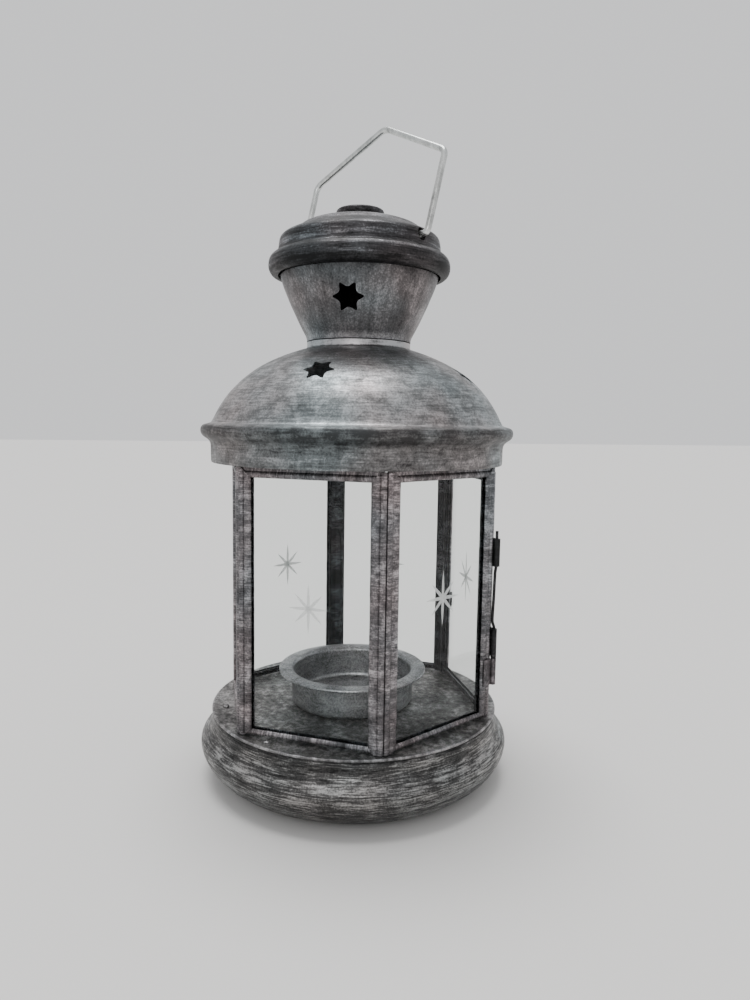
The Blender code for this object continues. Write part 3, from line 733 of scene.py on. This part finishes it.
bossShape = {
    "outline": [(0.6, 210.35), (4.6, 210.35), (5.8, 210.4), (6.8, 210.6), (7.6, 210.7), (8.25, 210.6),
                (8.65, 210.25), (8.8, 209.7), (8.75, 208.9), (8.55, 208.2), (8.4, 207.95), (7.6, 207.9),
                (3.5, 207.9), (3.5, 206.5), (5.6, 206.5), (6.0, 206.25), (5.8, 205.8), (4.0, 205.6),
                (0.6, 205.6)],
}
bossFine = turnedPiece("bossFine", bossShape["outline"], around=64, closeEnds=True)
shadeByAngle(bossFine, 50)
fileAway(bossFine, "lantern_body", ["cap_boss"], capZinc)
print("roof, funnel and cap made")


# round wires: the bail and the hinge pin

def lengthwiseLayout(piece):
    # the layout that a finish brushed along a strip reads
    return piece.data.uv_layers.get("lengthwise") or piece.data.uv_layers.new(name="lengthwise")


def wirePiece(name, line, thickness, smooth=8):
    curve = bpy.data.curves.new(name, "CURVE")
    curve.dimensions = "3D"
    curve.bevel_depth = thickness * mm
    curve.bevel_resolution = smooth
    curve.use_fill_caps = True
    spline = curve.splines.new("POLY")
    spline.points.add(len(line) - 1)
    for point, place in zip(spline.points, line):
        point.co = (place.x, place.y, place.z, 1)
    piece = bpy.data.objects.new(name, curve)
    bpy.context.scene.collection.objects.link(piece)
    pickOnly(piece)
    bpy.ops.object.convert(target="MESH")
    piece = nameNew(name)
    faceSolidOutwards(piece)
    layout = lengthwiseLayout(piece)
    travelled = [0.0]
    for here, after in zip(line, line[1:]):
        travelled.append(travelled[-1] + (after - here).length)
    for loop in piece.data.loops:
        spot = piece.data.vertices[loop.vertex_index].co
        nearest = min(range(len(line)), key=lambda index: (line[index] - spot).length)
        offset = spot - line[nearest]
        layout.data[loop.index].uv = (travelled[nearest], math.atan2(offset.z, offset.x) * thickness * mm)
    return piece


bailAxis = azimuth(bailShape["azimuth"])
leanWay = acrossFrom(bailAxis)
lean = math.radians(bailShape["lean"])
bailUp = leanWay * math.sin(lean) + Vector((0, 0, math.cos(lean)))
halfLine = bailShape["line"]
wholeLine = halfLine + [(-point[0],) + tuple(point[1:]) for point in reversed(halfLine[:-1])]
bailLine = [bailAxis * point.x * mm + bailUp * point.y * mm + Vector((0, 0, bailShape["pivot"] * mm))
            for point in roundedLine(wholeLine, 8)]
bailFine = wirePiece("bailFine", bailLine, bailShape["wire"])
shadeByAngle(bailFine, 50)
fileAway(bailFine, "bail", ["bail_handle"], brightWire)

hexRadius = 53.14
pinShape = {
    "radius": 0.55, "distance": 53.8, "azimuth": -30.0, "kink": 0.7,
    "line": [(38.9, 0), (50, 0), (58.6, 0), (59.8, 0.05), (60.6, 0.35), (61.4, 0.8), (62.2, 0.98),
             (63.2, 1.0), (64.6, 0.96), (67.0, 0.84), (69.5, 0.72), (72.0, 0.62), (74.5, 0.54),
             (77.5, 0.46), (80.0, 0.38), (81.2, 0.2), (82.2, 0.02), (86, 0), (95.4, 0)],
}
corner = azimuth(pinShape["azimuth"])
pinLine = [corner * (pinShape["distance"] - pinShape["kink"] * kink) * mm + Vector((0, 0, height * mm))
           for height, kink in pinShape["line"]]
pinFine = wirePiece("pinFine", pinLine, pinShape["radius"], smooth=4)
shadeByAngle(pinFine, 50)
fileAway(pinFine, "lantern_body", ["hinge_pin"], hingeSteel)


# glazed frames

apothem = hexRadius * math.cos(math.pi / 6)
halfFace = hexRadius / 2
channelShape = {
    "stile": [(0.58, -0.85), (0.62, -0.55), (0.78, -0.28), (1.06, -0.1), (1.45, 0.0), (1.85, -0.03),
              (2.15, -0.15), (2.38, -0.34), (2.52, -0.5), (2.68, -0.34), (2.92, -0.12), (3.25, 0.02),
              (3.75, 0.06), (4.2, 0.02), (4.6, -0.1), (4.95, -0.34), (5.15, -0.64), (5.2, -0.92),
              (5.1, -1.0), (3.3, -1.0), (3.3, -2.8), (5.1, -2.8), (5.2, -2.9), (5.2, -3.25), (5.05, -3.4),
              (2.4, -3.4)],
    "rail": [(0.5, -3.4), (0.45, -1.9), (0.42, -1.2), (0.46, -0.78), (0.58, -0.4), (0.8, -0.12), (1.1, 0.0),
             (1.45, -0.02), (1.8, -0.14), (2.1, -0.34), (2.32, -0.62), (2.36, -0.86), (2.28, -1.0),
             (1.1, -1.0), (1.1, -2.8), (2.35, -2.8), (2.4, -2.9), (2.4, -3.3), (2.3, -3.4)],
    "topRail": [(0.0, -3.4), (0.0, -0.75), (1.15, -0.75), (1.3, -0.4), (1.6, -0.12), (2.0, 0.03),
                (2.4, 0.04), (2.85, -0.08), (3.2, -0.32), (3.4, -0.64), (3.4, -0.92), (3.3, -1.0),
                (1.1, -1.0), (1.1, -2.8), (3.35, -2.8), (3.4, -2.9), (3.4, -3.3), (3.3, -3.4)],
    "stileWidth": 5.2, "gap": 0.03, "rings": 48, "unevenSize": 0.0035, "unevenDepth": 0.00016,
    # how high each mitre stands at the stile's inner edge, below (1) and above (-1)
    "mitre": {1: 2.45, -1: 3.4},
    # the two strips at the front corner were bent from wider stock, from this far in
    "extraWidth": {(4, 1): 0.7, (5, -1): 0.7}, "extraFrom": 0.6,
    # how far in the painted shade starts, and each strip's own shift along its streaks
    "shadeDepth": 1.6, "stileShift": (0.37, 0.11), "railShift": (0.53, 0.07),
}
# the door, then the fixed frames, each 60 degrees on: body, lowest and highest
frameHeights = [("door", "door", 26.8, 116.6)]
frameHeights += [("frame%d" % face, "lantern_body", 26.2, 118.4) for face in range(1, 6)]


def channelPiece(name, section, length, rings):
    # a section ring raised along Z from the origin, then cut into short lengths
    pickNothing()
    bpy.ops.mesh.primitive_circle_add(vertices=len(section), radius=mm, fill_type="NGON")
    piece = nameNew(name)
    for vertex, (across, out) in zip(piece.data.vertices, section):
        vertex.co = (across * mm, out * mm, 0)
    startEditing(piece)
    bpy.ops.mesh.extrude_region_move(TRANSFORM_OT_translate={"value": (0, 0, length * mm)})
    bpy.ops.mesh.select_all(action="DESELECT")
    stopEditing()
    for edge in piece.data.edges:
        ends = [piece.data.vertices[index].co for index in edge.vertices]
        edge.select = abs(ends[0].z - ends[1].z) > length * mm / 2
    bpy.ops.object.mode_set(mode="EDIT")
    bpy.ops.mesh.select_mode(type="EDGE")
    bpy.ops.mesh.subdivide(number_cuts=rings)
    bpy.ops.mesh.select_mode(type="VERT")
    stopEditing()
    return piece


def trim(piece, place, normal):
    startEditing(piece)
    bpy.ops.mesh.bisect(plane_co=place, plane_no=normal, use_fill=True, clear_outer=True)
    stopEditing()


def layLengthwise(piece, along, across, out, start):
    # start is a shift of its own for each piece, so that no two show the same streaks
    layout = lengthwiseLayout(piece)
    outShare = 0.6
    for loop in piece.data.loops:
        spot = piece.data.vertices[loop.vertex_index].co
        wrapped = spot.dot(across) + outShare * spot.dot(out)
        layout.data[loop.index].uv = (spot.dot(along) + start, wrapped + start)


def faceAxes(face):
    out = azimuth(60 * face)
    return acrossFrom(out), out


def placeOnFace(piece, face):
    along, out = faceAxes(face)
    piece.matrix_world = Matrix(((along.x, out.x, 0, out.x * apothem * mm),
                                 (along.y, out.y, 0, out.y * apothem * mm), (0, 0, 1, 0), (0, 0, 0, 1)))
    applyPlace(piece)


def finishStrip(piece, face, along, across, out, start):
    placeOnFace(piece, face)
    # placing on the face mirrors the piece
    faceSolidOutwards(piece)
    handWork(piece, channelShape)
    shadeByAngle(piece, 40)
    layLengthwise(piece, along, across, out, start)


def stilePiece(name, side, low, high, face):
    shape = channelShape
    extra = shape["extraWidth"].get((face, side), 0.0)
    spread = extra / (shape["stileWidth"] - shape["extraFrom"])
    section = [(side * (halfFace - s - spread * max(0.0, s - shape["extraFrom"])), out)
               for s, out in shape["stile"]]
    piece = channelPiece(name, section, high - low, shape["rings"])
    piece.location = (0, 0, low * mm)
    applyPlace(piece)
    inner = side * (halfFace - shape["stileWidth"] - extra) * mm
    for height, turn in ((high - shape["mitre"][-1], 1), (low + shape["mitre"][1], -1)):
        trim(piece, (inner, 0, height * mm), Vector((-side, 0, turn)).normalized())
    along, out = faceAxes(face)
    perFace, perSide = shape["stileShift"]
    finishStrip(piece, face, Vector((0, 0, 1)), along, out, perFace * face + perSide * side)
    return piece


def railPiece(name, level, up, face):
    shape = channelShape
    section = [(out, up * s) for s, out in shape["rail" if up > 0 else "topRail"]]
    length = 2 * halfFace
    piece = channelPiece(name, section, length, shape["rings"] // 2)
    # the raised section is laid down along the face
    piece.matrix_world = Matrix(((0, 0, 1, -halfFace * mm), (1, 0, 0, 0), (0, 1, 0, level * mm),
                                 (0, 0, 0, 1)))
    applyPlace(piece)
    for side in (-1, 1):
        extra = shape["extraWidth"].get((face, side), 0.0)
        inner = halfFace - shape["stileWidth"] - extra - shape["gap"] * math.sqrt(2)
        trim(piece, (side * inner * mm, 0, (level + up * shape["mitre"][up]) * mm),
             Vector((side, 0, up)).normalized())
    along, out = faceAxes(face)
    perFace, perSide = shape["railShift"]
    finishStrip(piece, face, along, Vector((0, 0, 1)), out, perFace * face + perSide * up)
    return piece


def paintShadeInside(piece, face):
    # painted shade: faces turned towards the candle, and faces set deep in the channel, take the dark inside
    # finish, standing in for the shade inside the lantern
    piece.data.materials.append(insideShadeZinc)
    out = azimuth(60 * face)
    for side in piece.data.polygons:
        if side.normal.dot(out) < -0.3 or side.center.dot(out) < (apothem - channelShape["shadeDepth"]) * mm:
            side.material_index = 1


for face, (prefix, body, low, high) in enumerate(frameHeights):
    parts = (("stile_left", stilePiece, (-1, low, high)), ("stile_right", stilePiece, (1, low, high)),
             ("rail_bottom", railPiece, (low, 1)), ("rail_top", railPiece, (high, -1)))
    for part, build, details in parts:
        piece = build("%s_%s_fine" % (prefix, part), *details, face)
        fileAway(piece, body, ["%s_%s" % (prefix, part)], frameZinc)
        paintShadeInside(piece, face)
    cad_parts[prefix + "_glass"].material_slots[0].material = paneGlass

# a folded strip soldered behind each corner closes it against the light; it wears the dark inside finish,
# painted shade that makes the joint read as a dark line

seamShape = {"reach": 48.55, "half": 2.1, "fold": 0.9, "low": 26.4, "high": 118.2, "thickness": 0.4,
             "unevenSize": 0.004, "unevenDepth": 0.00012}


def seamStrip(name, azimuthAngle, low, high):
    pickNothing()
    bpy.ops.mesh.primitive_grid_add(x_subdivisions=8, y_subdivisions=30, size=2)
    piece = nameNew(name)
    heading = azimuth(azimuthAngle)
    across = acrossFrom(heading)
    for vertex in piece.data.vertices:
        x, y = vertex.co.x, vertex.co.y
        reach = seamShape["reach"] - seamShape["fold"] * abs(x)
        spot = heading * reach * mm + across * x * seamShape["half"] * mm
        vertex.co = (spot.x, spot.y, (low + (high - low) * (y + 1) / 2) * mm)
    giveFoldedSheet(piece, seamShape["thickness"])
    handWork(piece, seamShape)
    shadeByAngle(piece, 40)
    layLengthwise(piece, Vector((0, 0, 1)), across, heading, azimuthAngle * 0.01)
    return piece


for index in range(6):
    seam = seamStrip("corner_seam_%d" % index, 30 + 60 * index, seamShape["low"], seamShape["high"])
    fileAway(seam, "lantern_body", [], insideShadeZinc)
print("glazed frames made")


# wheel-cut stars on the panes

cutStarShape = {
    "tall": 8.9, "wide": 7.3, "slant": 7.1, "cut": 0.60, "proud": 0.05, "height": 72.0, "inset": 1.3,
    "leaf": ((0.0, 1.0), (0.62, 0.72), (1.0, 0.34), (1.0, -0.34), (0.62, -0.72), (0.0, -1.0), (-0.8, -0.5),
             (-0.8, 0.5)),
    "ridge": (0.25, 0.9, 1),
    # each was cut by hand: across, up and size, on the door and then on the frames in turn
    "handCut": ((-0.8, 1.2, 1.20), (0.4, -0.5, 1.0), (0.3, 0.4, 1.03), (0, 0, 1), (-0.8, 0.2, 0.97),
                (0.9, 2.3, 1.12)),
}


def strokePiece(reach):
    # a long leaf with a ridge down its middle
    shape = cutStarShape
    pickNothing()
    bpy.ops.mesh.primitive_circle_add(vertices=len(shape["leaf"]), radius=mm, fill_type="NGON")
    piece = nameNew("stroke")
    for vertex, (across, length) in zip(piece.data.vertices, shape["leaf"]):
        vertex.co = (across * shape["cut"] * mm, length * reach * mm, 0)
    startEditing(piece)
    bpy.ops.mesh.extrude_region_move(TRANSFORM_OT_translate={"value": (0, 0, shape["proud"] * mm)})
    bpy.ops.transform.resize(value=shape["ridge"])
    stopEditing()
    faceSolidOutwards(piece)
    return piece


def cutStar(name, face):
    strokes = []
    for turn, reach in ((0, "tall"), (90, "wide"), (45, "slant"), (-45, "slant")):
        stroke = strokePiece(cutStarShape[reach])
        stroke.rotation_euler = (0, 0, math.radians(turn))
        applyPlace(stroke)
        strokes.append(stroke)
    pickNothing()
    for stroke in strokes:
        stroke.select_set(True)
    bpy.context.view_layer.objects.active = strokes[0]
    bpy.ops.object.join()
    star = nameNew(name)
    along, out = faceAxes(face)
    shift, lift, size = cutStarShape["handCut"][face]
    star.data.transform(Matrix.Scale(size, 4))
    centre = out * (apothem - cutStarShape["inset"]) * mm + along * shift * mm
    centre.z = (cutStarShape["height"] + lift) * mm
    star.matrix_world = axesMatrix(along, Vector((0, 0, 1)), out, centre)
    applyPlace(star)
    faceSolidOutwards(star)
    return star


for face, (prefix, body) in enumerate(entry[:2] for entry in frameHeights):
    star = cutStar(prefix + "_cutStar", face)
    fileAway(star, body, [], starGlass)
print("cut stars made")


# hinge, tab, tongue and solder

stripShape = {"thickness": 0.45, "rise": 0.12, "turn": 285.0, "clearance": 0.1}


def loopLine(radius, side, leafEnd, steps=26):
    # the pin stands off the corner, so it leans 30 degrees out from either face
    leanOut = math.radians(30)
    proud = pinShape["distance"] - hexRadius
    pin = Vector((side * (halfFace + proud * math.sin(leanOut)), proud * math.cos(leanOut)))
    rise = stripShape["rise"] + stripShape["thickness"] / 2
    start = math.asin((rise - pin.y) / radius)
    line = [Vector((side * (halfFace - leafEnd * part), rise)) for part in (1.0, 0.75, 0.5, 0.25)]
    for step in range(steps + 1):
        angle = start + math.radians(stripShape["turn"]) * step / steps
        line.append(Vector((pin.x - side * radius * math.cos(angle), pin.y + radius * math.sin(angle))))
    return line


def bentStrip(name, line, low, high, face, depthCuts=6):
    # a flat grid bent along the line, then given its thickness and soft edges
    pickNothing()
    bpy.ops.mesh.primitive_grid_add(x_subdivisions=len(line) - 1, y_subdivisions=depthCuts, size=2)
    piece = nameNew(name)
    for vertex in piece.data.vertices:
        index = round((vertex.co.x + 1) / 2 * (len(line) - 1))
        share = (vertex.co.y + 1) / 2
        spot = line[index]
        vertex.co = (spot.x * mm, spot.y * mm, (low + (high - low) * share) * mm)
    placeOnFace(piece, face)
    giveFoldedSheet(piece, stripShape["thickness"])
    shadeByAngle(piece, 40)
    along, out = faceAxes(face)
    layLengthwise(piece, Vector((0, 0, 1)), along, out, 0.2 * face)
    return piece


tightLoop = pinShape["radius"] + stripShape["clearance"] + stripShape["thickness"] / 2
# loop radius, side of the face, leaf's reach, lowest, highest, face and body
hingeShape = {
    "door_loop_upper": (tightLoop + 0.18, -1, 4.5, 82.5, 92.6, 0, "door"),
    "door_loop_lower": (tightLoop, -1, 4.5, 48.6, 59.3, 0, "door"),
    "hinge_bracket": (tightLoop, 1, 4.7, 38.5, 48.3, 5, "lantern_body"),
}
for node, (radius, side, leafEnd, low, high, face, body) in hingeShape.items():
    piece = bentStrip(node + "_fine", loopLine(radius, side, leafEnd), low, high, face)
    fileAway(piece, body, [node], leafSteel if node == "hinge_bracket" else hingeSteel)

# in from the door's edge, and out from its leaf
tabShape = {"line": [(4.6, 0.0), (3.4, 0.0), (2.2, 0.0), (1.6, 0.4), (1.4, 1.4)], "low": 55.0, "high": 61.0}
tabRise = stripShape["rise"] + stripShape["thickness"] / 2
tabPoints = [(halfFace - inward, tabRise + out) for inward, out in tabShape["line"]]
tabLine = [Vector(point) for point in easedLine(tabPoints, 4)]
tab = bentStrip("pull_tab_fine", tabLine, tabShape["low"], tabShape["high"], 0)
fileAway(tab, "door", ["pull_tab"], hingeSteel)
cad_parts["latch_tongue"].material_slots[0].material = baseZinc
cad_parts["frame_ring"].material_slots[0].material = floorZinc

solderShape = {
    "flat": 0.5, "stretch": 1.5, "height": 26.0, "cutAt": 25.85, "unevenSize": 0.0010, "unevenDepth": 0.0008,
    # azimuth, distance from the axis and size
    "spots": [(-137.0, 50.2, 1.0), (-151.0, 45.6, 0.9), (-92.0, 46.0, 0.8), (-210.0, 46.0, 1.1),
              (88.0, 45.8, 1.0), (150.5, 45.7, 0.9), (62.0, 49.0, 0.9), (180.0, 49.3, 1.0)],
}


def solderBlob(name, azimuthAngle, reach, size):
    shape = solderShape
    pickNothing()
    place = azimuth(azimuthAngle) * reach * mm
    bpy.ops.mesh.primitive_ico_sphere_add(subdivisions=4, radius=size * mm,
                                          location=(place.x, place.y, shape["height"] * mm),
                                          rotation=(0, 0, math.radians(azimuthAngle)))
    blob = nameNew(name)
    blob.scale = (shape["stretch"], 1.0, shape["flat"])
    applyPlace(blob)
    handWork(blob, shape)
    trim(blob, (0, 0, shape["cutAt"] * mm), Vector((0, 0, -1)))
    faceSolidOutwards(blob)
    shadeByAngle(blob, 60)
    return blob


for index, (angle, reach, size) in enumerate(solderShape["spots"]):
    blob = solderBlob("solder_%d" % index, angle, reach, size)
    fileAway(blob, "lantern_body", [], solderTin)
print("hinge and solder made")


# stage, light and camera

tableShape = {"size": 8.0, "drop": 0.0002, "colour": (0.60, 0.592, 0.58, 1), "roughness": 0.75}
pickNothing()
bpy.ops.mesh.primitive_plane_add(size=tableShape["size"], location=(0, 0, -tableShape["drop"]))
table = nameNew("table")
tableMaterial = bpy.data.materials.new("tablePaint")
tableMaterial.use_nodes = True
tableShader = tableMaterial.node_tree.nodes["Principled BSDF"]
tableShader.inputs["Base Color"].default_value = tableShape["colour"]
tableShader.inputs["Roughness"].default_value = tableShape["roughness"]
table.data.materials.append(tableMaterial)

studio = {
    "world": (0.98, 0.985, 1.0, 1.0), "worldStrength": 0.93,
    "skylight": {"from": (0.12, 0.05, 0.85), "strength": 3.1, "spread": 36.0},
    "fill": {"place": (-1.2, 0.5, 0.75), "aim": (0, 0, 0.12), "size": 0.7, "power": 4.0},
}
world = bpy.data.worlds.new("studioSky")
bpy.context.scene.world = world
world.use_nodes = True
sky = world.node_tree.nodes["Background"]
sky.inputs["Color"].default_value = studio["world"]
sky.inputs["Strength"].default_value = studio["worldStrength"]
skylight = bpy.data.lights.new("skylight", "SUN")
skylight.energy = studio["skylight"]["strength"]
skylight.angle = math.radians(studio["skylight"]["spread"])
fill = bpy.data.lights.new("fill", "AREA")
fill.size = studio["fill"]["size"]
fill.energy = studio["fill"]["power"]
for lamp, place, aim in ((skylight, studio["skylight"]["from"], (0, 0, 0)),
                         (fill, studio["fill"]["place"], studio["fill"]["aim"])):
    holder = bpy.data.objects.new(lamp.name, lamp)
    bpy.context.scene.collection.objects.link(holder)
    holder.location = place
    holder.rotation_euler = (Vector(aim) - Vector(place)).to_track_quat("-Z", "Y").to_euler()

cameraShape = {
    "azimuth": -100.5, "distance": 0.2826, "height": 0.13475, "side": -0.00083, "lens": 26.82,
    "pitch": 6.17, "yaw": 1.58, "roll": 0.86,
}
toward = azimuth(cameraShape["azimuth"])
away = -toward
right = acrossFrom(toward)
pitch = math.radians(cameraShape["pitch"])
yaw = math.radians(cameraShape["yaw"])
roll = math.radians(cameraShape["roll"])
cameraPlace = right * cameraShape["side"] + toward * cameraShape["distance"]
cameraPlace.z = cameraShape["height"]
level = right * math.sin(yaw) + away * math.cos(yaw)
sideways = right * math.cos(yaw) - away * math.sin(yaw)
upward = level * math.sin(pitch) + Vector((0, 0, math.cos(pitch)))
cameraRight = sideways * math.cos(roll) + upward * math.sin(roll)
cameraUp = upward * math.cos(roll) - sideways * math.sin(roll)
cameraData = bpy.data.cameras.new("camera")
cameraData.sensor_width = 36
cameraData.lens = cameraShape["lens"]
cameraData.clip_start = 0.01
camera = bpy.data.objects.new("camera", cameraData)
bpy.context.scene.collection.objects.link(camera)
camera.matrix_world = axesMatrix(cameraRight, cameraUp, cameraRight.cross(cameraUp), cameraPlace)
bpy.context.scene.camera = camera
print("stage, light and camera set")
